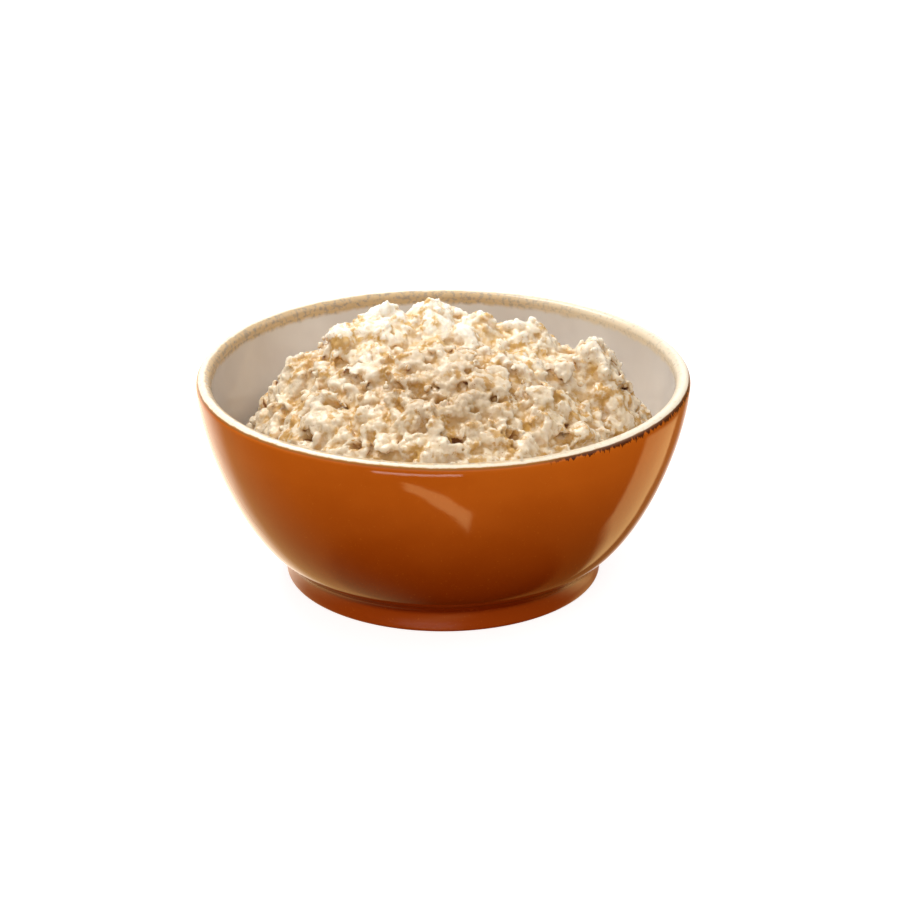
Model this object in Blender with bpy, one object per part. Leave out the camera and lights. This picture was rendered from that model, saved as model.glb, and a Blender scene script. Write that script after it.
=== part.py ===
"""A round glazed stoneware bowl with a mound of thick porridge in it.

The bowl stands on its foot ring at z = 0, with its axis on +Z. Lengths are in metres.
"""

import bmesh
import bpy
import numpy as np
from math import cos, hypot, pi, sin, tau

# Bowl: one turned piece
SEGMENTS = 72
RIM_RADIUS = 0.0625
HEIGHT = 0.0540
RIM_WALL = 0.0037
LIP_RADIUS = RIM_WALL / 2
LIP_Z = HEIGHT - LIP_RADIUS
LIP_POINTS = 7
SIDE_POINTS = 11

FOOT_RADIUS = 0.0406
FOOT_WAIST_RADIUS = 0.0401
FOOT_HEIGHT = 0.0066
FOOT_EDGE = 0.0011
FOOT_INNER_RADIUS = 0.0345
RECESS_RADIUS = 0.0318
RECESS_DEPTH = 0.0028

INNER_FLOOR_Z = 0.0066
OUTER_CURVE = (1.5, 0.66)
INNER_CURVE = (1.66, 0.3125)

# Porridge: one mound, filling the bowl up to FILL_Z at the wall
FIT_GAP = 0.0004
FILL_Z = 0.0333
FILL_WAVE = 0.0025
MOUND_RISE = 0.0300
MOUND_CURVE = (2.6, 1.0)
MOUND_FORWARD = 0.0020
WALL_SLOPE = 1.9
TOP_RINGS = 24
UNDER_RINGS = 6

# Clumps left by the spoon: x, y, height of the centre, radius
SPOONED_CLUMPS = (
    (-0.0150, 0.0050, 0.0620, 0.0090),
    (-0.0030, 0.0070, 0.0620, 0.0085),
    (0.0100, 0.0050, 0.0590, 0.0085),
    (0.0200, 0.0060, 0.0555, 0.0100),
    (0.0390, 0.0010, 0.0510, 0.0115),
    (-0.0245, 0.0010, 0.0575, 0.0085),
    (-0.0350, -0.0010, 0.0490, 0.0100),
    (-0.0290, -0.0230, 0.0430, 0.0105),
    (0.0050, -0.0170, 0.0540, 0.0095),
    (0.0240, -0.0220, 0.0480, 0.0090),
)
# Smaller clumps between them, on a golden-angle spiral
SPIRAL_CLUMPS = 34
SPIRAL_SHARE = 0.90
SPIRAL_RADII = (0.0045, 0.0075)
GOLDEN_ANGLE = pi * (3 - 5**0.5)
CLUMP_BLEND = 0.0010
CLUMP_DROP = 0.90
CLUMP_SINK = 0.65
SEED = 7


def clear_scene():
    for obj in list(bpy.data.objects):
        bpy.data.objects.remove(obj, do_unlink=True)


def material(name, colour, roughness):
    made = bpy.data.materials.new(name)
    made.use_nodes = True
    shader = made.node_tree.nodes["Principled BSDF"]
    shader.inputs["Base Color"].default_value = (*colour, 1)
    shader.inputs["Roughness"].default_value = roughness
    shader.inputs["Metallic"].default_value = 0.0
    return made


def add_object(name, bm, surface, crease_angle):
    mesh = bpy.data.meshes.new(name)
    bm.normal_update()
    bm.to_mesh(mesh)
    bm.free()
    mesh.materials.append(surface)
    mesh.shade_smooth()
    mesh.set_sharp_from_angle(angle=crease_angle)
    obj = bpy.data.objects.new(name, mesh)
    bpy.context.scene.collection.objects.link(obj)
    return obj


def swell(share, curve):
    """How far out a bowl's side has come, from 0 to 1, at this share of its height."""
    upward, outward = curve
    return (1 - (1 - share) ** upward) ** outward


def outer_radius(z):
    share = (z - FOOT_HEIGHT) / (LIP_Z - FOOT_HEIGHT)
    reach = RIM_RADIUS - FOOT_WAIST_RADIUS
    return FOOT_WAIST_RADIUS + reach * swell(share, OUTER_CURVE)


def inner_radius(z):
    share = (z - INNER_FLOOR_Z) / (LIP_Z - INNER_FLOOR_Z)
    return (RIM_RADIUS - RIM_WALL) * swell(share, INNER_CURVE)


def heights(low, high, count):
    """Heights from low to high, closer together at the low end, where the side curves most."""
    return [low + (high - low) * (i / count) ** 1.8 for i in range(count + 1)]


def foot_profile():
    """(radius, height) from the middle of the underside, round the foot ring, to its waist."""
    return [
        (0, RECESS_DEPTH),
        (RECESS_RADIUS, RECESS_DEPTH),
        (FOOT_INNER_RADIUS, 0),
        (FOOT_RADIUS - FOOT_EDGE, 0),
        (FOOT_RADIUS - 0.3 * FOOT_EDGE, 0.3 * FOOT_EDGE),
        (FOOT_RADIUS, FOOT_EDGE),
        (FOOT_RADIUS, FOOT_HEIGHT / 2),
    ]


def lip_profile():
    """The round lip, from its outer side over the top to its inner side."""
    centre = RIM_RADIUS - LIP_RADIUS
    turns = [pi * i / LIP_POINTS for i in range(1, LIP_POINTS)]
    return [(centre + LIP_RADIUS * cos(a), LIP_Z + LIP_RADIUS * sin(a)) for a in turns]


def bowl_profile():
    side = [(outer_radius(z), z) for z in heights(FOOT_HEIGHT, LIP_Z, SIDE_POINTS)]
    inside = [(inner_radius(z), z) for z in heights(INNER_FLOOR_Z, LIP_Z, SIDE_POINTS)]
    return foot_profile() + side + lip_profile() + inside[::-1]


def make_bowl():
    bm = bmesh.new()
    points = [bm.verts.new((r, 0, z)) for r, z in bowl_profile()]
    edges = [bm.edges.new(pair) for pair in zip(points, points[1:])]
    bmesh.ops.spin(
        bm,
        geom=points + edges,
        axis=(0, 0, 1),
        cent=(0, 0, 0),
        steps=SEGMENTS,
        angle=tau,
        use_merge=True,
    )
    bmesh.ops.remove_doubles(bm, verts=bm.verts, dist=1e-6)
    bmesh.ops.recalc_face_normals(bm, faces=bm.faces)
    glaze = material("terracotta_glaze", (0.43, 0.15, 0.035), 0.18)
    return add_object("bowl", bm, glaze, crease_angle=0.9)


def soft_max(levels):
    """The highest of the levels, with the crease between near-equal ones rounded."""
    top = max(levels)
    return top + CLUMP_BLEND * np.log(sum(np.exp((z - top) / CLUMP_BLEND) for z in levels))


def soft_min(levels):
    return -soft_max([-z for z in levels])


def spiral_clumps():
    """Small clumps spread evenly over the mound, as (x, y, height of the centre, radius)."""
    random = np.random.default_rng(SEED)
    clumps = []
    for i in range(SPIRAL_CLUMPS):
        reach = SPIRAL_SHARE * inner_radius(FILL_Z) * ((i + 0.5) / SPIRAL_CLUMPS) ** 0.5
        turn = i * GOLDEN_ANGLE + random.uniform(-0.3, 0.3)
        x, y = reach * cos(turn), reach * sin(turn)
        radius = random.uniform(*SPIRAL_RADII)
        clumps.append((x, y, mound_height(x, y) - CLUMP_SINK * radius, radius))
    return clumps


def fill_height(angle):
    """Where the porridge meets the wall, which is a little uneven round the bowl."""
    return FILL_Z + FILL_WAVE * (0.85 * cos(angle) + 0.15 * sin(5 * angle))


def mound_height(x, y):
    edge = inner_radius(FILL_Z) - FIT_GAP
    share = min(hypot(x, y + MOUND_FORWARD) / edge, 1.0)
    power, roundness = MOUND_CURVE
    return FILL_Z + MOUND_RISE * (1 - share**power) ** roundness


def heap_height(x, y, clumps):
    """The mound and its clumps, run softly into each other."""
    levels = [mound_height(x, y)]
    for cx, cy, cz, radius in clumps:
        across = hypot(x - cx, y - cy) / radius
        levels.append(cz + radius * (1 - CLUMP_DROP * across**2))
    return soft_max(levels)


def top_rings(clumps):
    """Rings of the mound's upper side, from the wall inwards."""
    rings = []
    for i in range(TOP_RINGS):
        share = 1 - i / TOP_RINGS
        ring = []
        for j in range(SEGMENTS):
            angle = tau * j / SEGMENTS
            wall_z = fill_height(angle)
            edge = inner_radius(wall_z) - FIT_GAP
            radius = share * edge
            x, y = radius * cos(angle), radius * sin(angle)
            steepest = wall_z + WALL_SLOPE * (edge - radius)
            z = soft_min([heap_height(x, y, clumps), steepest]) if i else wall_z
            ring.append((x, y, z))
        rings.append(ring)
    return rings


def under_rings():
    """Rings down the bowl's inside, from just under the wall line to near the floor."""
    rings = []
    low = INNER_FLOOR_Z + 2 * FIT_GAP
    for i in range(1, UNDER_RINGS):
        ring = []
        for j in range(SEGMENTS):
            angle = tau * j / SEGMENTS
            z = low + (fill_height(angle) - low) * (1 - i / UNDER_RINGS) ** 1.6
            radius = inner_radius(z) - 2 * FIT_GAP
            ring.append((radius * cos(angle), radius * sin(angle), z))
        rings.append(ring)
    return rings


def make_porridge():
    clumps = list(SPOONED_CLUMPS) + spiral_clumps()
    bm = bmesh.new()
    layers = under_rings()[::-1] + top_rings(clumps)
    rings = [[bm.verts.new(p) for p in layer] for layer in layers]
    for low, high in zip(rings, rings[1:]):
        for j in range(SEGMENTS):
            k = (j + 1) % SEGMENTS
            bm.faces.new((low[j], low[k], high[k], high[j]))
    bottom = bm.verts.new((0, 0, INNER_FLOOR_Z + 2 * FIT_GAP))
    peak = bm.verts.new((0, 0, heap_height(0, 0, clumps)))
    for j in range(SEGMENTS):
        k = (j + 1) % SEGMENTS
        bm.faces.new((bottom, rings[0][k], rings[0][j]))
        bm.faces.new((peak, rings[-1][j], rings[-1][k]))
    bmesh.ops.recalc_face_normals(bm, faces=bm.faces)
    oats = material("porridge", (0.80, 0.68, 0.48), 0.45)
    return add_object("porridge", bm, oats, crease_angle=1.4)


def main():
    clear_scene()
    make_bowl()
    make_porridge()


main()
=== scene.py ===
"""Looks for the bowl of porridge: a glazed stoneware bowl and a heap of cooked oats.

Lengths are in metres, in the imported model's frame: the bowl stands at z = 0 on its axis.
"""

from math import atan2, cos, pi, radians, sin, tau

import bmesh
import bpy
import numpy as np
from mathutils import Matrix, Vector, noise
from mathutils.bvhtree import BVHTree


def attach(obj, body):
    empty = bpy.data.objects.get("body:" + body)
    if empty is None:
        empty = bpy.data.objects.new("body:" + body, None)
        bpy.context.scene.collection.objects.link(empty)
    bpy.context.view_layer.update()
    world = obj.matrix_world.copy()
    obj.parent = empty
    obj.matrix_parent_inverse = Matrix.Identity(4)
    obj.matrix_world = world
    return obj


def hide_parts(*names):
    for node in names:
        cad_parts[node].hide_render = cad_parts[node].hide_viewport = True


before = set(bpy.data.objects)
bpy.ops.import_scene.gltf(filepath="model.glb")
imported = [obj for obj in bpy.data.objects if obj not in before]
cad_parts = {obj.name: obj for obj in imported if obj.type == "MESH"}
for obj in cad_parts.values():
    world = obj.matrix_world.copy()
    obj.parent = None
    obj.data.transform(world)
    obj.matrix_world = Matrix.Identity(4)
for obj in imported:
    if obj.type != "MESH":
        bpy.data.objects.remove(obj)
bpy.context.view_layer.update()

# Bowl profile, as the model has it
RIM_RADIUS = 0.0625
HEIGHT = 0.0540
RIM_WALL = 0.0037
LIP_RADIUS = RIM_WALL / 2
LIP_Z = HEIGHT - LIP_RADIUS
FOOT_RADIUS = 0.0406
FOOT_WAIST_RADIUS = 0.0401
FOOT_HEIGHT = 0.0066
FOOT_EDGE = 0.0011
FOOT_INNER_RADIUS = 0.0345
RECESS_RADIUS = 0.0318
RECESS_DEPTH = 0.0028
INNER_FLOOR_Z = 0.0066
OUTER_CURVE = (1.5, 0.66)
INNER_CURVE = (1.66, 0.3125)

# How finely the bowl is made, and how far a hand-made one is out of true
BOWL_SEGMENTS = 288
SIDE_STEPS = 56
SIDE_CROWDING = 1.8
LIP_STEPS = 22
OUT_OF_ROUND = 0.00016
OUT_OF_LEVEL = 0.00014

# The attribute "profile" along the bowl's outline: below 1 outside, 1 to 2 over the lip,
# above 2 inside, in steps of PROFILE_STEP from the lip, and these values underneath
PROFILE_STEP = 0.01
UNDERSIDE = -9

# Camera, aimed at a point near the bowl's middle
CAMERA_ELEVATION = radians(22.82)
CAMERA_DISTANCE = 0.7589
CAMERA_LENS = 118.3
AIM = Vector((0.00175, 0.00062, 0.03187))


# ---------------------------------------------------------------- meshes

def make_object(name, vertices, faces, material, smooth=True):
    mesh = bpy.data.meshes.new(name)
    mesh.from_pydata(vertices, [], faces)
    mesh.update()
    mesh.materials.append(material)
    mesh.polygons.foreach_set("use_smooth", [smooth] * len(mesh.polygons))
    obj = bpy.data.objects.new(name, mesh)
    bpy.context.scene.collection.objects.link(obj)
    return obj


def positions(mesh):
    found = np.empty(len(mesh.vertices) * 3, dtype=np.float32)
    mesh.vertices.foreach_get("co", found)
    return found.reshape(-1, 3).astype(float)


def normals(mesh):
    found = np.empty(len(mesh.vertices) * 3, dtype=np.float32)
    mesh.vertices.foreach_get("normal", found)
    return found.reshape(-1, 3).astype(float)


def set_positions(mesh, points):
    mesh.vertices.foreach_set("co", points.astype(np.float32).ravel())
    mesh.update()


def edge_pairs(mesh):
    pairs = np.empty(len(mesh.edges) * 2, dtype=np.int32)
    mesh.edges.foreach_get("vertices", pairs)
    return pairs.reshape(-1, 2)


def relax(points, pairs, rounds, share=0.5):
    """Moves every point towards the middle of its neighbours, this many times."""
    count = np.bincount(pairs.ravel(), minlength=len(points))[:, None]
    count = np.maximum(count, 1)
    for _ in range(rounds):
        total = np.stack(
            [
                np.bincount(pairs[:, 0], points[pairs[:, 1], axis], len(points))
                + np.bincount(pairs[:, 1], points[pairs[:, 0], axis], len(points))
                for axis in range(points.shape[1])
            ],
            axis=1,
        )
        points = points + share * (total / count - points)
    return points


def set_values(mesh, name, values):
    layer = mesh.attributes.new(name, "FLOAT", "POINT")
    layer.data.foreach_set("value", values.astype(np.float32))


# ---------------------------------------------------------------- bowl

def swell(share, curve):
    upward, outward = curve
    return (1 - (1 - share) ** upward) ** outward


def outer_radius(z):
    share = (z - FOOT_HEIGHT) / (LIP_Z - FOOT_HEIGHT)
    return FOOT_WAIST_RADIUS + (RIM_RADIUS - FOOT_WAIST_RADIUS) * swell(share, OUTER_CURVE)


def inner_radius(z):
    share = (z - INNER_FLOOR_Z) / (LIP_Z - INNER_FLOOR_Z)
    return (RIM_RADIUS - RIM_WALL) * swell(share, INNER_CURVE)


def arc(centre, radius, start, end, count):
    """Points on an arc in the profile's plane, both ends included; angles in degrees."""
    turns = [radians(start + (end - start) * i / count) for i in range(count + 1)]
    return [(centre[0] + radius * cos(a), centre[1] + radius * sin(a)) for a in turns]


def softened(points, low, high, rounds):
    """The glaze runs into the crease above the foot and rounds it."""
    for _ in range(rounds):
        before = list(points)
        for i in range(1, len(points) - 1):
            r, z, where = before[i]
            if where == 1 and low < z < high:
                (r0, z0, _), (r1, z1, _) = before[i - 1], before[i + 1]
                points[i] = (0.5 * r + 0.25 * (r0 + r1), 0.5 * z + 0.25 * (z0 + z1), where)
    return points


def bowl_profile():
    """(radius, height, where) from the underside's middle round to the inside's middle.

    where is 0 on the clay foot, 1 on the outside glaze, 2 on the lip's crown, 3 inside.
    """
    edge = FOOT_EDGE
    points = [(0, RECESS_DEPTH, 0)]
    points += [(RECESS_RADIUS * i / 6, RECESS_DEPTH, 0) for i in range(1, 6)]
    points += [
        (RECESS_RADIUS - 0.0006, RECESS_DEPTH, 0),
        (RECESS_RADIUS + 0.0006, RECESS_DEPTH - 0.0005, 0),
        (FOOT_INNER_RADIUS - 0.0008, 0.0006, 0),
        (FOOT_INNER_RADIUS + 0.0006, 0, 0),
    ]
    points += [(r, z, 1) for r, z in arc((FOOT_RADIUS - edge, edge), edge, -90, 0, 6)]
    points += [(FOOT_RADIUS, edge + (FOOT_HEIGHT - 0.0016 - edge) * i / 6, 1) for i in range(1, 7)]
    shares = [(i / SIDE_STEPS) ** SIDE_CROWDING for i in range(SIDE_STEPS + 1)]
    side = [FOOT_HEIGHT + (LIP_Z - FOOT_HEIGHT) * share for share in shares]
    points += [(outer_radius(z), z, 1) for z in side if z > FOOT_HEIGHT + 0.0003]
    points = softened(points, 0.0035, 0.0110, 8)
    middle = (RIM_RADIUS - LIP_RADIUS, LIP_Z)
    points += [(r, z, 2) for r, z in arc(middle, LIP_RADIUS, 7.5, 172.5, LIP_STEPS)]
    inside = [INNER_FLOOR_Z + (LIP_Z - INNER_FLOOR_Z) * share for share in shares[:0:-1]]
    points += [(inner_radius(z), z, 3) for z in inside]
    points.append((0, INNER_FLOOR_Z, 3))
    return points


def make_bowl(material):
    profile = bowl_profile()
    rings = profile[1:-1]
    count = BOWL_SEGMENTS
    turns = np.arange(count) * tau / count
    vertices = []
    for r, z, _ in rings:
        high = z / HEIGHT
        wobble = OUT_OF_ROUND * high * (np.sin(2 * turns + 0.7) + 0.5 * np.sin(5 * turns + 2.0))
        lift = OUT_OF_LEVEL * max(0.0, high - 0.5) * 2 * np.sin(3 * turns + 1.1)
        radii = r + wobble
        ring = np.stack([radii * np.cos(turns), radii * np.sin(turns), z + lift], axis=1)
        vertices.append(ring)
    points = np.concatenate(vertices)
    faces = []
    for i in range(len(rings) - 1):
        for j in range(count):
            k = (j + 1) % count
            faces.append((i * count + j, i * count + k, (i + 1) * count + k, (i + 1) * count + j))
    base = len(points)
    top = (len(rings) - 1) * count
    points = np.concatenate([points, [(0, 0, profile[0][1]), (0, 0, profile[-1][1])]])
    for j in range(count):
        k = (j + 1) % count
        faces.append((base, k, j))
        faces.append((base + 1, top + j, top + k))
    bowl = make_object("bowl_glazed", points.tolist(), faces, material)
    places = []
    for r, z, where in rings:
        if where == 2:
            place = 1 + atan2(z - LIP_Z, r - (RIM_RADIUS - LIP_RADIUS)) / pi
        elif where == 3:
            place = 2 + (LIP_Z - z) / PROFILE_STEP
        elif where == 1:
            place = 1 - (LIP_Z - z) / PROFILE_STEP
        else:
            place = UNDERSIDE
        places.extend([place] * count)
    set_values(bowl.data, "profile", np.array(places + [UNDERSIDE, -UNDERSIDE]))
    return bowl


# ---------------------------------------------------------------- node helpers

class Nodes:
    """Short calls that add nodes to a material or world and link them."""

    def __init__(self, owner):
        owner.use_nodes = True
        self.tree = owner.node_tree
        self.tree.nodes.clear()

    def add(self, kind, **settings):
        node = self.tree.nodes.new(kind)
        for name, value in settings.items():
            setattr(node, name, value)
        return node

    def put(self, socket, value):
        if isinstance(value, bpy.types.NodeSocket):
            self.tree.links.new(value, socket)
        elif isinstance(value, tuple) and len(socket.default_value) == 4:
            socket.default_value = (*value, 1)
        else:
            socket.default_value = value

    def math(self, operation, a, b=0.0, c=0.0):
        node = self.add("ShaderNodeMath", operation=operation)
        for socket, value in zip(node.inputs, (a, b, c)):
            self.put(socket, value)
        return node.outputs[0]

    def times(self, a, b):
        return self.math("MULTIPLY", a, b)

    def plus(self, a, b):
        return self.math("ADD", a, b)

    def vector(self, operation, a, b):
        node = self.add("ShaderNodeVectorMath", operation=operation)
        self.put(node.inputs[0], a)
        self.put(node.inputs["Scale" if operation == "SCALE" else 1], b)
        return node.outputs["Value" if operation == "DISTANCE" else "Vector"]

    def ramp(self, value, low, high, to_low=0.0, to_high=1.0, smooth=True):
        """to_low at low, to_high at high, and held beyond them; low may be above high."""
        kind = "SMOOTHSTEP" if smooth else "LINEAR"
        node = self.add("ShaderNodeMapRange", interpolation_type=kind)
        given = (value, low, high, to_low, to_high)
        for name, number in zip(("Value", "From Min", "From Max", "To Min", "To Max"), given):
            self.put(node.inputs[name], number)
        return node.outputs[0]

    def window(self, value, rise, fall):
        """1 between two ramps and 0 outside them."""
        return self.times(self.ramp(value, *rise), self.ramp(value, *fall))

    def mix(self, share, a, b, blend="MIX"):
        node = self.add("ShaderNodeMix", data_type="RGBA", blend_type=blend)
        self.put(node.inputs[0], share)
        self.put(node.inputs[6], a)
        self.put(node.inputs[7], b)
        return node.outputs[2]

    def noise(self, scale, detail=3.0, roughness=0.5, vector=None):
        node = self.add("ShaderNodeTexNoise")
        self.put(node.inputs["Scale"], scale)
        self.put(node.inputs["Detail"], detail)
        self.put(node.inputs["Roughness"], roughness)
        self.put(node.inputs["Vector"], vector if vector is not None else self.place())
        return node.outputs["Fac"]

    def place(self):
        return self.add("ShaderNodeTexCoord").outputs["Object"]

    def attribute(self, name):
        return self.add("ShaderNodeAttribute", attribute_name=name).outputs["Fac"]

    def axes(self, vector):
        node = self.add("ShaderNodeSeparateXYZ")
        self.put(node.inputs[0], vector)
        return node.outputs

    def turn(self, x, y):
        """Angle round the bowl's axis: 0 at the front, then positive to the right."""
        return self.math("ARCTAN2", x, self.times(y, -1.0))

    def surface(self, **values):
        shader = self.add("ShaderNodeBsdfPrincipled")
        for name, value in values.items():
            self.put(shader.inputs[name.replace("_", " ")], value)
        out = self.add("ShaderNodeOutputMaterial")
        self.tree.links.new(shader.outputs[0], out.inputs[0])
        return shader

    def bump(self, height, distance, strength):
        node = self.add("ShaderNodeBump")
        self.put(node.inputs["Height"], height)
        self.put(node.inputs["Distance"], distance)
        self.put(node.inputs["Strength"], strength)
        return node.outputs[0]


# Glaze colours; a pair is a colour and what the grain or clouds bring in
BODY = ((0.565, 0.130, 0.0075), (0.635, 0.156, 0.0110))
BODY_PAINTED_LIGHT = (0.80, 0.200, 0.0120)
BODY_PAINTED_SHADE = (0.205, 0.022, 0.0007)
BODY_FOOT = (0.360, 0.056, 0.0025)
BODY_SPECKS = (0.70, 0.22, 0.03)
INSIDE = ((0.640, 0.610, 0.595), (0.700, 0.675, 0.660))
INSIDE_PAINTED_SHADE_RIGHT = (0.540, 0.495, 0.430)
INSIDE_PAINTED_SHADE_LEFT = (0.500, 0.430, 0.360)
CROWN = ((0.83, 0.76, 0.62), (0.62, 0.47, 0.28))
TAN = ((0.55, 0.39, 0.21), (0.34, 0.27, 0.20))
OCHRE = (0.50, 0.23, 0.035)
BROWN_LINE = (0.20, 0.055, 0.006)
SCORCH = (0.070, 0.018, 0.005)
CLAY = ((0.42, 0.24, 0.13), (0.52, 0.31, 0.18))


def glaze_material():
    made = bpy.data.materials.new("bowl_glaze_looks")
    n = Nodes(made)
    where = n.attribute("profile")
    x, y, z = n.axes(n.place())
    turn = n.turn(x, y)

    # Outside: orange-brown, with slow clouds and fine specks; lighter towards the right as painted
    # light, darker towards the bottom as painted shade, and darker again on the foot
    body = n.mix(n.ramp(n.noise(38.0, 3.0, 0.55), 0.35, 0.68), *BODY)
    # Painted light: the outside gets lighter towards the right
    body = n.mix(n.ramp(x, 0.010, 0.046, 0.0, 0.5), body, BODY_PAINTED_LIGHT)
    # Painted shade: the outside gets darker towards the bottom
    body = n.mix(n.ramp(z, 0.006, 0.046, smooth=False), BODY_PAINTED_SHADE, body)
    body = n.mix(n.ramp(z, 0.0064, 0.0048), body, BODY_FOOT)
    body = n.mix(n.ramp(n.noise(1500.0, 2.0, 0.6), 0.64, 0.74, 0.0, 0.30), body, BODY_SPECKS)

    # Inside: warm cream-beige with faint cloudy patches, and painted shade that makes it darker at
    # the left and darker and yellower at the right
    inside = n.mix(n.ramp(n.noise(55.0, 3.0, 0.5), 0.35, 0.65), *INSIDE)
    inside = n.mix(n.ramp(x, 0.030, 0.055, 0.0, 0.3), inside, INSIDE_PAINTED_SHADE_RIGHT)
    inside = n.mix(n.ramp(x, -0.030, -0.055, 0.0, 0.6), inside, INSIDE_PAINTED_SHADE_LEFT)

    # Lip: cream crown, tan and speckled where the glaze runs thin towards the inside
    grit = n.noise(900.0, 3.0, 0.6)
    crown = n.mix(n.ramp(grit, 0.56, 0.68, 0.0, 0.5), *CROWN)
    tan = n.mix(n.ramp(grit, 0.46, 0.64), *TAN)
    ragged = n.times(n.math("SUBTRACT", n.noise(260.0, 3.0, 0.6), 0.5), 0.22)
    edge = n.plus(where, ragged)
    # The cream is narrower at the front
    inward = n.plus(edge, n.ramp(y, -0.030, -0.058, 0.0, 0.16))
    # The tan is the thin glaze's own colour, made stronger over the left of the lip than the right
    # as painted shade
    thin_glaze_and_shade = n.times(n.ramp(inward, 1.50, 1.64), n.ramp(x, 0.045, 0.005, 0.40, 0.95))
    colour = n.mix(thin_glaze_and_shade, crown, tan)
    colour = n.mix(n.ramp(edge, 2.06, 2.20), colour, inside)
    # Ochre line where the outside glaze breaks over the lip
    line = n.plus(where, n.times(ragged, 0.6))
    colour = n.mix(n.ramp(line, 1.23, 1.28), OCHRE, colour)
    colour = n.mix(n.ramp(line, 1.14, 1.21), body, colour)

    # Scorched line under the lip on one side, solid above and broken into ticks below
    around = n.add("ShaderNodeCombineXYZ")
    n.put(around.inputs[0], n.times(turn, 60.0))
    n.put(around.inputs[1], n.times(z, 260.0))
    ticks = n.noise(1.0, 3.0, 0.65, around.outputs[0])
    ticks = n.math("MULTIPLY_ADD", n.math("SUBTRACT", where, 1.07), 1.2, ticks)
    ticks = n.ramp(ticks, n.ramp(turn, 0.4, 1.1, 0.52, 0.45), 0.56)
    side = n.window(turn, (0.38, 0.50), (2.3, 1.9))
    band = n.window(where, (0.88, 0.95), (1.27, 1.21))
    burnt = n.times(n.times(side, band), ticks)
    colour = n.mix(n.times(burnt, 0.95), colour, SCORCH)
    thin = n.window(where, (1.12, 1.17), (1.26, 1.21))
    colour = n.mix(n.times(thin, 0.5), colour, BROWN_LINE)

    # Bare clay under the foot
    clay = n.mix(n.ramp(grit, 0.4, 0.6), *CLAY)
    colour = n.mix(n.ramp(where, -8.0, -7.0), clay, colour)

    # Glossy, a little less so on the lip and the foot, and dull on the clay
    rough = n.ramp(n.noise(120.0, 2.0, 0.5), 0.3, 0.7, 0.05, 0.10)
    rough = n.plus(rough, n.window(where, (1.05, 1.3), (2.2, 2.0, 0.0, 0.22)))
    rough = n.plus(rough, n.ramp(where, -7.0, -8.0, 0.0, 0.6))
    rough = n.plus(rough, n.ramp(z, 0.0076, 0.0056, 0.0, 0.24))
    height = n.plus(n.noise(60.0, 2.0, 0.5), n.times(grit, 0.04))
    shader = n.surface(Base_Color=colour, Roughness=rough, Normal=n.bump(height, 0.0004, 0.35))
    shader.inputs["IOR"].default_value = 1.46
    return made


# ---------------------------------------------------------------- porridge

SEED = 11
MM = 0.001
HEAP_FLOOR = 0.030
WALL_GAP = 0.4 * MM

# The skin: how far the core lies under the model's heap, how far lumps stand out of it, the
# remesh's cell, and how the small hollows and bumps are finished
CORE_INSET = 2.0 * MM
STAND_OUT = 0.9 * MM
VOXEL = 0.48 * MM
TRIANGLES = 192000
HOLLOW = 0.4 * MM
HOLLOW_RISE = 0.65
BUMP_CELLS = ((470, 0.82), (880, 0.18))
BUMP_HEIGHT = 0.80 * MM

# How many of each kind
LUMPS = 230
NODULES = 760
CLUMPS = 44
FLAKES = 120
CRUMBS = 700

# Oats that stand out of the heap: place, facing and direction of the long side, then
# length, width and thickness
STANDING_OATS = (
    ((-14.2, 4.6, 68.6), (0.4, -0.9, 0.2), (0.1, 0.0, 1.0), 6.5, 4.6, 2.4),
    ((-3.1, 5.8, 67.8), (0.1, -0.9, 0.4), (-0.1, 0.2, 1.0), 8.5, 7.0, 2.8),
    ((-26.6, -4.2, 62.6), (-0.9, -0.5, 0.2), (0.2, -0.3, 1.0), 7.5, 4.5, 1.8),
    ((-29.1, -22.0, 54.6), (-0.3, -0.7, 0.5), (0.9, -0.1, 0.6), 8.0, 6.5, 2.0),
    ((37.5, -1.5, 60.0), (0.2, -0.8, 0.6), (0.3, 0.1, 1.0), 7.0, 6.0, 2.4),
    ((30.5, -9.9, 58.2), (0.3, -0.7, 0.6), (0.6, 0.5, 0.6), 7.5, 6.0, 1.8),
)
LYING_OATS = (
    ((-7.4, -40.0, 50.4), (-0.15, -0.60, 0.78), (1.0, 0.1, 0.3), 7.4, 6.2, 3.6),
    ((1.8, -21.8, 61.6), (0.05, -0.60, 0.80), (1.0, 0.3, 0.2), 8.2, 7.4, 2.0),
    ((-8.2, -16.0, 62.6), (-0.10, -0.45, 0.88), (0.9, 0.4, 0.3), 9.0, 7.4, 3.4),
    ((13.3, -19.5, 60.6), (0.25, -0.50, 0.85), (0.7, 0.7, 0.1), 7.0, 6.0, 1.8),
    ((23.9, -23.9, 57.0), (0.20, -0.55, 0.80), (1.0, -0.2, 0.1), 7.6, 5.6, 2.0),
)
# Where the top is lower than the model's rounded clumps: place, radius and height
PRESSED = (
    ((-18.0, 4.0), 7.5, 66.5),
    ((-8.5, 4.5), 4.5, 67.5),
)
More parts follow.
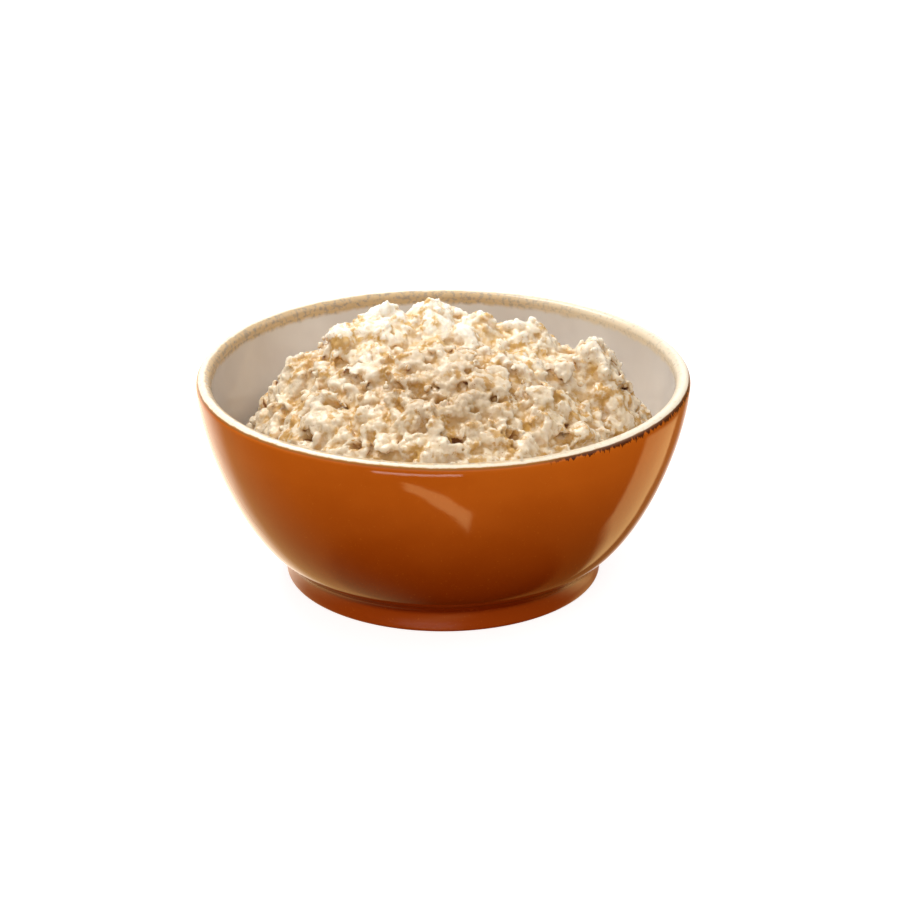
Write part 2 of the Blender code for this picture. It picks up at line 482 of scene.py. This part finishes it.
# Gaps between lumps: place, radius and depth
PITS = (
    ((-27.0, -23.5, 54.8), 1.7, 3.0),
    ((-6.1, -28.6, 58.2), 1.3, 2.8),
    ((-0.7, -29.3, 58.2), 1.2, 2.6),
    ((8.1, -32.0, 56.4), 1.0, 2.2),
    ((15.0, -27.5, 57.0), 1.2, 2.6),
    ((3.4, -39.7, 51.5), 1.9, 3.4),
    ((-33.3, -29.4, 48.0), 1.6, 2.8),
    ((-21.6, -36.4, 48.8), 1.7, 3.0),
    ((31.5, -27.1, 50.2), 2.0, 3.0),
    ((17.8, -35.6, 51.1), 2.1, 3.2),
    ((-19.9, -21.6, 57.8), 1.2, 2.2),
    ((10.2, -14.0, 62.2), 1.3, 2.0),
    ((-9.0, 30.0, 60.0), 1.8, 3.0),
    ((21.0, 27.0, 57.5), 1.6, 3.0),
    ((-31.0, 18.0, 56.0), 1.7, 3.0),
)
HEAP_MIDDLE = np.array((0.0, 0.0, 0.020))
PIT_STRETCH = (0.7, 0.7, 1.6)


def triangles(mesh):
    mesh.calc_loop_triangles()
    found = np.empty(len(mesh.loop_triangles) * 3, dtype=np.int32)
    mesh.loop_triangles.foreach_get("vertices", found)
    return found.reshape(-1, 3)


def surface_samples(mesh, count, random, lowest):
    """Points spread evenly by area over the heap's upper side, with the normals there."""
    points = positions(mesh)
    tris = triangles(mesh)
    a, b, c = points[tris[:, 0]], points[tris[:, 1]], points[tris[:, 2]]
    cross = np.cross(b - a, c - a)
    area = np.linalg.norm(cross, axis=1) / 2
    facing = cross / np.maximum(2 * area[:, None], 1e-12)
    middle = (a + b + c) / 3
    weight = area * ((facing[:, 2] > 0.02) & (middle[:, 2] > lowest))
    pick = random.choice(len(tris), size=count, p=weight / weight.sum())
    u, v = random.random(count), random.random(count)
    flip = u + v > 1
    u[flip], v[flip] = 1 - u[flip], 1 - v[flip]
    at = a[pick] + u[:, None] * (b - a)[pick] + v[:, None] * (c - a)[pick]
    return at, facing[pick]


def flake_grid(rings=5, around=20):
    """A closed disc as (radius share, angle, side) and its faces: the top, then the underside."""
    spots = [(0.0, 0.0, 1.0)]
    for i in range(1, rings + 1):
        for j in range(around):
            spots.append((i / rings, tau * j / around, 1.0))
    under = len(spots)
    spots.append((0.0, 0.0, -1.0))
    for i in range(1, rings):
        for j in range(around):
            spots.append((i / rings, tau * j / around, -1.0))
    faces = []

    def ring(first, i):
        return [first + 1 + (i - 1) * around + j for j in range(around)]

    for first, flip in ((0, False), (under, True)):
        rows = [ring(first, i) for i in range(1, rings)] + [ring(0, rings)]
        for j in range(around):
            k = (j + 1) % around
            face = (first, rows[0][j], rows[0][k])
            faces.append(face[::-1] if flip else face)
        for low, high in zip(rows, rows[1:]):
            for j in range(around):
                k = (j + 1) % around
                face = (low[j], high[j], high[k], low[k])
                faces.append(face[::-1] if flip else face)
    return np.array(spots), faces


FLAKE_SPOTS, FLAKE_FACES = flake_grid()


def flake_points(random, length, width, thickness, curl=0.0, taper=0.0):
    """One rolled oat, softened by cooking: an uneven blunt-cornered oval with a crease."""
    share, angle, side = FLAKE_SPOTS.T
    corners = random.integers(4, 7)
    start = random.uniform(0, tau)
    wedge = tau / corners
    polygon = cos(pi / corners) / np.cos((angle + start) % wedge - wedge / 2)
    outline = 0.45 + 0.60 * polygon + sum(
        random.uniform(0.0, size) * np.sin(k * angle + random.uniform(0, tau))
        for k, size in ((2, 0.10), (3, 0.09), (5, 0.07), (7, 0.05))
    )
    x = share * np.cos(angle) * outline * length / 2
    y = share * np.sin(angle) * outline * width / 2
    y = y * (1 - taper * np.clip(2 * x / length, -0.2, 1))
    thick = thickness / 2 * np.sqrt(np.clip(1 - share**4, 0, 1))
    crease = 0.18 * thickness * np.exp(-((y / (0.10 * width)) ** 2)) * (share < 0.95)
    z = side * (thick - crease)
    z = z + curl * (x**2 - 0.6 * y**2) / length + 0.35 * curl * x * y / length
    phase = random.uniform(0, tau, 2)
    z = z + 0.12 * thickness * np.sin(x * 2600 + phase[0]) * np.sin(y * 3100 + phase[1])
    return np.stack([x, y, z], axis=1)


def laid(points, facing, along):
    """Points laid so that +Z lies along facing and +X as near to along as that allows."""
    up = np.array(facing, dtype=float)
    up /= np.linalg.norm(up)
    side = np.cross(up, along)
    side /= np.linalg.norm(side)
    front = np.cross(side, up)
    return points[:, :1] * front + points[:, 1:2] * side + points[:, 2:] * up


def unit_ball(levels):
    bm = bmesh.new()
    bmesh.ops.create_icosphere(bm, subdivisions=levels, radius=1.0)
    points = np.array([v.co[:] for v in bm.verts])
    faces = [tuple(v.index for v in f.verts) for f in bm.faces]
    bm.free()
    return points, faces


BALL, BALL_FACES = unit_ball(2)
CRUMB, CRUMB_FACES = unit_ball(1)


def joined_copy(mesh):
    """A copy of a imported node's mesh with its faces joined at their shared corners."""
    bm = bmesh.new()
    bm.from_mesh(mesh)
    bmesh.ops.remove_doubles(bm, verts=bm.verts, dist=1e-5)
    bmesh.ops.recalc_face_normals(bm, faces=bm.faces)
    copy = bpy.data.meshes.new("porridge_core")
    bm.to_mesh(copy)
    bm.free()
    return copy


class Soup:
    """Closed shapes that overlap, gathered before they are joined into one skin."""

    def __init__(self, random):
        self.random = random
        self.points = []
        self.faces = []
        self.total = 0

    def put(self, points, faces):
        self.points.append(points)
        self.faces.extend(tuple(i + self.total for i in face) for face in faces)
        self.total += len(points)

    def lump(self, place, facing, radius, depth):
        random = self.random
        shape = BALL * random.uniform(0.75, 1.20, 3)
        swell = 1 + 0.12 * np.sin(BALL @ random.uniform(-5, 5, 3) + random.uniform(0, tau))
        shape = laid(shape * swell[:, None] * radius, facing, random.normal(0, 1, 3))
        self.put(place - facing * radius * depth + shape, BALL_FACES)

    def flake(self, place, facing, length, depth, lean):
        random = self.random
        width = length * random.uniform(0.62, 0.90)
        shape = flake_points(
            random, length, width, random.uniform(1.1, 1.8) * MM,
            random.uniform(-0.15, 0.22), random.uniform(0.0, 0.45),
        )
        tilt = facing + random.normal(0, lean, 3)
        self.put(place - facing * depth + laid(shape, tilt, random.normal(0, 1, 3)), FLAKE_FACES)

    def crumb(self, place, facing, radius, depth):
        random = self.random
        shape = CRUMB * random.uniform(0.7, 1.35, 3) * radius
        shape = laid(shape, facing, random.normal(0, 1, 3))
        self.put(place - facing * depth + shape, CRUMB_FACES)


def held_down(points, mesh):
    """Presses back whatever stands further out of the heap than its outline allows."""
    faces = [tuple(face.vertices) for face in mesh.polygons]
    tree = BVHTree.FromPolygons(positions(mesh).tolist(), faces)
    settled = points.copy()
    for i, point in enumerate(points):
        near, facing, _, away = tree.find_nearest(Vector(point))
        if away > STAND_OUT and (Vector(point) - near).dot(facing) > 0:
            settled[i] -= np.array(facing) * 0.75 * (away - STAND_OUT)
    return settled


def heap_soup(mesh, random):
    """The heap as a smaller core under lumps, whole oats and crumbs."""
    soup = Soup(random)
    core = positions(mesh) - CORE_INSET * normals(mesh)
    soup.put(core, [tuple(p.vertices) for p in mesh.polygons])

    for place, facing in zip(*surface_samples(mesh, LUMPS, random, HEAP_FLOOR)):
        radius = random.uniform(2.4, 4.6) * MM
        soup.lump(place - facing * 0.7 * MM, facing, radius, random.uniform(0.62, 0.95))

    for place, facing in zip(*surface_samples(mesh, NODULES, random, HEAP_FLOOR)):
        radius = random.uniform(1.1, 2.3) * MM
        soup.lump(place - facing * 0.6 * MM, facing, radius, random.uniform(0.20, 0.95))

    for place, facing in zip(*surface_samples(mesh, CLUMPS, random, HEAP_FLOOR)):
        size = random.uniform(2.8, 4.4) * MM
        for _ in range(5):
            spot = place - facing * 0.9 * MM + random.normal(0, 0.45, 3) * size
            soup.lump(spot, facing, size * random.uniform(0.45, 0.80), random.uniform(0.35, 0.75))
        for _ in range(2):
            spot = place - facing * 0.9 * MM + random.normal(0, 0.50, 3) * size
            soup.flake(spot, facing, random.uniform(4.0, 6.5) * MM, 0.2 * MM, 0.55)

    for place, facing in zip(*surface_samples(mesh, FLAKES, random, HEAP_FLOOR)):
        length = random.uniform(4.8, 7.6) * MM
        soup.flake(place, facing, length, random.uniform(0.0, 1.1) * MM, 0.30)

    for place, facing in zip(*surface_samples(mesh, CRUMBS, random, HEAP_FLOOR)):
        radius = random.uniform(0.6, 1.2) * MM
        soup.crumb(place, facing, radius, random.uniform(-0.2, 0.8) * MM)

    settled = held_down(np.concatenate(soup.points), mesh)
    for place, radius, height in PRESSED:
        near = np.hypot(*(settled[:, :2] - np.array(place) * MM).T) / (radius * MM)
        share = np.clip(1.6 - 1.6 * near, 0, 1)
        above = np.maximum(settled[:, 2] - height * MM, 0)
        settled[:, 2] -= 0.75 * share * above
    soup.points = [settled]
    for kinds, taper in ((STANDING_OATS, 0.75), (LYING_OATS, 0.10)):
        for place, facing, along, length, width, thickness in kinds:
            shape = flake_points(random, length * MM, width * MM, thickness * MM, 0.1, taper)
            soup.put(np.array(place) * MM + laid(shape, facing, along), FLAKE_FACES)
    return np.concatenate(soup.points), soup.faces


def within_wall(points, gap):
    """Keeps points inside the bowl's wall."""
    reach = np.hypot(points[:, 0], points[:, 1])
    wall = inner_radius(np.clip(points[:, 2], INNER_FLOOR_Z + 0.2 * MM, LIP_Z)) - gap
    held = points.copy()
    held[:, :2] *= np.minimum(1, wall / np.maximum(reach, 1e-6))[:, None]
    held[:, 2] = np.maximum(held[:, 2], INNER_FLOOR_Z + gap)
    return held


def modified(mesh, kind, **settings):
    """The mesh after one modifier."""
    holder = bpy.data.objects.new("holder", mesh)
    bpy.context.scene.collection.objects.link(holder)
    modifier = holder.modifiers.new("step", kind)
    for name, value in settings.items():
        setattr(modifier, name, value)
    graph = bpy.context.evaluated_depsgraph_get()
    result = bpy.data.meshes.new_from_object(holder.evaluated_get(graph), depsgraph=graph)
    bpy.data.objects.remove(holder, do_unlink=True)
    return result


def filled(points, outward, pairs, rounds):
    """Porridge settles in the narrow valleys: hollow spots rise, ridges stay sharp."""
    for _ in range(rounds):
        pull = relax(points, pairs, 1, 1.0) - points
        rise = np.maximum((pull * outward).sum(axis=1), 0)
        points = points + 0.8 * rise[:, None] * outward
    return points


def nodules(points):
    """Height of the small rounded bumps of swollen oat, from 0 in the creases to 1."""
    found = np.zeros(len(points))
    for i, point in enumerate(points):
        warp = noise.noise_vector(point * 260) * 0.35
        for cells, share in BUMP_CELLS:
            first, second = noise.voronoi(Vector(point * cells) + warp)[0][:2]
            slope = 1 - min(1.0, (second - first) / 0.55)
            found[i] += share * (1 - slope**2)
    return found


def ambient(points, tris, outward, random, rays=14, reach=12 * MM):
    """Share of the sky that each point sees within reach, from 0 in a hole to 1 in the open."""
    tree = BVHTree.FromPolygons(points.tolist(), tris.tolist())
    spread = random.normal(0, 1, (rays, 3))
    spread /= np.linalg.norm(spread, axis=1)[:, None]
    seen = np.zeros(len(points))
    for i in np.flatnonzero(points[:, 2] > HEAP_FLOOR - MM):
        start = Vector(points[i] + outward[i] * 0.4 * MM)
        hits = [tree.ray_cast(start, Vector(ray + outward[i] * 1.05), reach)[0] for ray in spread]
        seen[i] = hits.count(None) / rays
    return seen


def hollowed(points):
    """Sinks the gaps between lumps, with uneven edges."""
    for place, radius, depth in PITS:
        centre = np.array(place) * MM
        inward = HEAP_MIDDLE - centre
        inward /= np.linalg.norm(inward)
        close = np.flatnonzero(np.linalg.norm(points - centre, axis=1) < 5 * MM)
        away = points[close] - centre
        away -= np.outer(away @ inward, inward)
        ragged = np.array([1 + 0.9 * noise.noise(p) for p in points[close] * 700])
        spread = away * PIT_STRETCH * ragged[:, None]
        near = np.clip(1 - (spread**2).sum(axis=1) / (radius * MM) ** 2, 0, 1)
        points[close] += np.outer(near * depth * MM, inward)
    return points


def make_porridge(material):
    random = np.random.default_rng(SEED)
    noise.seed_set(SEED)
    vertices, faces = heap_soup(joined_copy(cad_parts["porridge"].data), random)
    mesh = bpy.data.meshes.new("porridge_soup")
    mesh.from_pydata(within_wall(vertices, WALL_GAP).tolist(), [], faces)
    mesh = modified(mesh, "REMESH", mode="VOXEL", voxel_size=VOXEL)
    mesh = modified(mesh, "DECIMATE", ratio=TRIANGLES / len(triangles(mesh)))

    pairs = edge_pairs(mesh)
    points = relax(positions(mesh), pairs, 2, 0.35)
    set_positions(mesh, points)
    outward = normals(mesh)
    sunk = ((relax(points, pairs, 30, 0.8) - points) * outward).sum(axis=1)
    points = points + outward * (HOLLOW_RISE * np.maximum(sunk - HOLLOW, 0))[:, None]
    set_positions(mesh, points)
    points = filled(points, normals(mesh), pairs, 2)
    set_positions(mesh, points)
    upper = np.clip((points[:, 2] - HEAP_FLOOR) / (3 * MM), 0, 1)
    bumps = (nodules(points) - 0.5) * upper
    points = points + normals(mesh) * (bumps * BUMP_HEIGHT)[:, None]
    points = relax(points, pairs, 1, 0.30)
    points = within_wall(hollowed(points), WALL_GAP)
    set_positions(mesh, points)

    outward = normals(mesh)
    broad = relax(points, pairs, 24, 0.6)
    set_values(mesh, "relief", ((points - broad) * outward).sum(axis=1) / MM)
    set_values(mesh, "open_sky", ambient(points, triangles(mesh), outward, random))
    mesh.name = "porridge_oats"
    mesh.materials.clear()
    mesh.materials.append(material)
    mesh.polygons.foreach_set("use_smooth", [True] * len(mesh.polygons))
    obj = bpy.data.objects.new("porridge_oats", mesh)
    bpy.context.scene.collection.objects.link(obj)
    return obj


# Porridge colours
OAT = ((0.90, 0.82, 0.66), (0.94, 0.88, 0.77))
OAT_PAINTED_SHADE = (0.76, 0.56, 0.31)
OAT_PAINTED_HIGHLIGHT = (0.96, 0.93, 0.86)
MILK = (0.95, 0.92, 0.86)
BRAN = (0.64, 0.385, 0.080)
BRAN_SPECKS = (0.45, 0.20, 0.04)
HOLLOW_PAINTED_SHADE = (0.76, 0.50, 0.22)
CREVICE_PAINTED_SHADE = (0.24, 0.070, 0.022)
LOW_PAINTED_SHADE = (0.66, 0.54, 0.38)
PAINTED_SHADOW_PLACE = (0.000, -0.022, 0.061)
PAINTED_SHADOW_TINT = (0.76, 0.68, 0.58)


def porridge_material():
    made = bpy.data.materials.new("porridge_looks")
    n = Nodes(made)
    relief = n.attribute("relief")
    sky = n.attribute("open_sky")
    z = n.axes(n.place())[2]
    patch = n.noise(330.0, 3.0, 0.6)

    # Paler on what stands out and browner between, with a random tone from the patches: painted
    # highlight on the peaks and painted shade between
    cream = n.mix(n.ramp(n.noise(900.0, 3.0, 0.6), 0.35, 0.7), *OAT)
    height = n.plus(relief, n.times(n.math("SUBTRACT", patch, 0.5), 0.8))
    colour = n.mix(n.ramp(height, -0.45, 0.10), OAT_PAINTED_SHADE, cream)
    colour = n.mix(n.ramp(height, 0.10, 0.45, 0.0, 0.7), colour, OAT_PAINTED_HIGHLIGHT)
    # Milky starch
    milk = n.ramp(n.noise(290.0, 2.0, 0.5), 0.53, 0.62)
    colour = n.mix(n.times(milk, 0.50), colour, MILK)
    # Golden bran, in patches and in fine specks
    patches = n.ramp(n.noise(340.0, 3.0, 0.6), 0.47, 0.60)
    bran = n.times(patches, n.ramp(n.noise(110.0, 2.0, 0.5), 0.42, 0.54))
    colour = n.mix(n.times(bran, 0.85), colour, BRAN)
    specks = n.ramp(n.noise(1300.0, 2.0, 0.5), 0.66, 0.71)
    specks = n.times(specks, n.ramp(patch, 0.5, 0.6))
    colour = n.mix(n.times(specks, 0.75), colour, BRAN_SPECKS)
    # Painted shade in the hollows, and darker painted shade in the crevices, where little sky is
    # seen
    colour = n.mix(n.times(n.ramp(sky, 0.80, 0.28), 0.44), colour, HOLLOW_PAINTED_SHADE)
    colour = n.mix(n.times(n.ramp(sky, 0.30, 0.08), 0.80), colour, CREVICE_PAINTED_SHADE)
    # Painted shade: darker lower down, and a painted shadow patch on the front of the heap
    low_shade_painted = n.mix(1.0, colour, LOW_PAINTED_SHADE, "MULTIPLY")
    colour = n.mix(n.ramp(z, 0.070, 0.055, 0.0, 0.62), colour, low_shade_painted)
    # Painted shadow: a darker patch on the front of the heap, under the top clumps
    away = n.vector("DISTANCE", n.place(), PAINTED_SHADOW_PLACE)
    painted_shadow = n.mix(1.0, colour, PAINTED_SHADOW_TINT, "MULTIPLY")
    colour = n.mix(n.ramp(away, 0.024, 0.008, 0.0, 0.8), colour, painted_shadow)

    rough = n.ramp(patch, 0.3, 0.7, 0.15, 0.30)
    cells = n.add("ShaderNodeTexVoronoi", feature="SMOOTH_F1")
    n.put(cells.inputs["Vector"], n.place())
    n.put(cells.inputs["Scale"], 1000.0)
    n.put(cells.inputs["Smoothness"], 0.3)
    beads = n.math("SUBTRACT", 1.0, n.math("POWER", cells.outputs["Distance"], 2.0))
    bumps = n.plus(n.times(beads, 0.9), n.times(n.noise(1500.0, 3.0, 0.6), 0.7))
    shader = n.surface(Base_Color=colour, Roughness=rough, Normal=n.bump(bumps, 0.00030, 0.50))
    shader.inputs["Subsurface Weight"].default_value = 0.45
    shader.inputs["Subsurface Radius"].default_value = (1.0, 0.88, 0.70)
    shader.inputs["Subsurface Scale"].default_value = 0.0015
    shader.inputs["IOR"].default_value = 1.42
    return made


# ---------------------------------------------------------------- stage

FLOOR_HALF = 2.0
WHITE_LIGHT = (1.0, 0.985, 0.97)
WARM_LIGHT = (1.0, 0.68, 0.28)
RED_LIGHT = (1.0, 0.34, 0.05)


def make_floor():
    half = FLOOR_HALF
    corners = [(-half, -half, 0), (half, -half, 0), (half, half, 0), (-half, half, 0)]
    made = bpy.data.materials.new("floor_looks")
    n = Nodes(made)
    shader = n.surface(Base_Color=(0.48, 0.48, 0.48), Roughness=0.8, Emission_Color=(1, 1, 1))
    shader.inputs["Emission Strength"].default_value = 0.80
    floor = make_object("floor", corners, [(0, 1, 2, 3)], made, smooth=False)
    floor.visible_glossy = False
    floor.visible_diffuse = False


def make_world():
    """A studio by direction: soft white above and behind, warm and dim below the horizon,
    and the bright shapes that the glaze mirrors."""
    world = bpy.data.worlds.new("studio")
    bpy.context.scene.world = world
    n = Nodes(world)
    x, y, z = n.axes(n.add("ShaderNodeTexCoord").outputs["Generated"])
    turn = n.turn(x, y)

    def patch(around, turns, heights, soft):
        """1 inside a range of turn and of height, 0 outside it."""
        sides, ends = (
            n.window(value, (low - soft, low + soft), (high + soft, high - soft))
            for value, (low, high) in ((around, turns), (z, heights))
        )
        return n.times(sides, ends)

    # White: a soft sky, a glow behind for the rim, and a thin strip under the lip
    above = n.ramp(z, -0.10, 0.55, 0.0, 0.60)
    rim = n.ramp(n.math("MULTIPLY_ADD", x, -0.26, y), 0.69, 0.94, 0.0, 1.2)
    strip = n.times(patch(turn, (-0.56, 0.14), (-0.450, -0.398), 0.008), 4.4)
    white = n.math("MAXIMUM", n.math("MAXIMUM", above, rim), strip)

    # Warm, below the horizon: glows at both sides, a slanted panel and a slanted streak
    left = n.times(n.ramp(y, -0.20, 0.80, 0.0, 0.9), n.ramp(x, 0.0, -0.3))
    right = n.times(n.ramp(y, 0.40, 0.90, 0.0, 0.15), n.ramp(x, 0.0, 0.3))
    slant = n.math("MULTIPLY_ADD", z, 0.55, n.plus(turn, 0.226))
    panel = n.times(patch(slant, (1.92, 2.50), (-0.72, -0.41), 0.03), 1.3)
    drop = n.math("MULTIPLY_ADD", turn, 0.32, n.plus(z, 0.73))
    streak = n.window(drop, (-0.045, -0.030), (0.045, 0.030))
    streak = n.times(n.times(streak, patch(turn, (-0.34, 0.30), (-1, 0), 0.03)), 3.0)
    warm = n.plus(n.plus(left, right), n.plus(panel, streak))

    # Red, straight below
    red = n.ramp(z, -0.88, -0.83, 0.06, 0.38)

    low = n.ramp(z, 0.02, -0.12)
    total = n.vector(
        "ADD",
        n.vector("SCALE", WARM_LIGHT, n.times(warm, low)),
        n.vector("SCALE", RED_LIGHT, n.times(red, low)),
    )
    total = n.vector("ADD", total, n.vector("SCALE", WHITE_LIGHT, white))
    shade = n.add("ShaderNodeBackground")
    n.put(shade.inputs["Color"], total)
    out = n.add("ShaderNodeOutputWorld")
    n.tree.links.new(shade.outputs[0], out.inputs[0])


def area_light(name, place, aim, size, power, colour):
    lamp = bpy.data.lights.new(name, "AREA")
    lamp.size = size
    lamp.energy = power
    lamp.color = colour
    obj = bpy.data.objects.new(name, lamp)
    obj.location = place
    way = Vector(aim) - Vector(place)
    obj.rotation_mode = "QUATERNION"
    obj.rotation_quaternion = way.to_track_quat("-Z", "Y")
    bpy.context.scene.collection.objects.link(obj)
    return obj


def make_lights():
    area_light("key", (-0.27, 0.28, 0.74), (0, 0, 0.04), 0.36, 5.6, (1.0, 0.975, 0.93))
    area_light("side", (0.50, 0.10, 0.52), (0, 0, 0.05), 0.40, 0.7, (1.0, 0.96, 0.90))
    fill = area_light("fill", (-0.12, -0.72, 0.46), (0, 0, 0.03), 0.50, 2.5, (1.0, 0.90, 0.78))
    fill.visible_glossy = False


def make_camera():
    up = Vector((0, sin(CAMERA_ELEVATION), cos(CAMERA_ELEVATION)))
    back = Vector((0, -cos(CAMERA_ELEVATION), sin(CAMERA_ELEVATION)))
    data = bpy.data.cameras.new("camera")
    data.sensor_width = 36
    data.lens = CAMERA_LENS
    data.clip_start, data.clip_end = 0.01, 20
    camera = bpy.data.objects.new("camera", data)
    camera.location = AIM + back * CAMERA_DISTANCE
    camera.rotation_mode = "QUATERNION"
    camera.rotation_quaternion = (-back).to_track_quat("-Z", "Y")
    bpy.context.scene.collection.objects.link(camera)
    bpy.context.scene.camera = camera


make_camera()
make_floor()
make_world()
make_lights()

bowl = make_bowl(glaze_material())
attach(bowl, "root")
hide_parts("bowl")

oats = make_porridge(porridge_material())
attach(oats, "root")
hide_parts("porridge")

bpy.context.scene.view_settings.view_transform = "Standard"
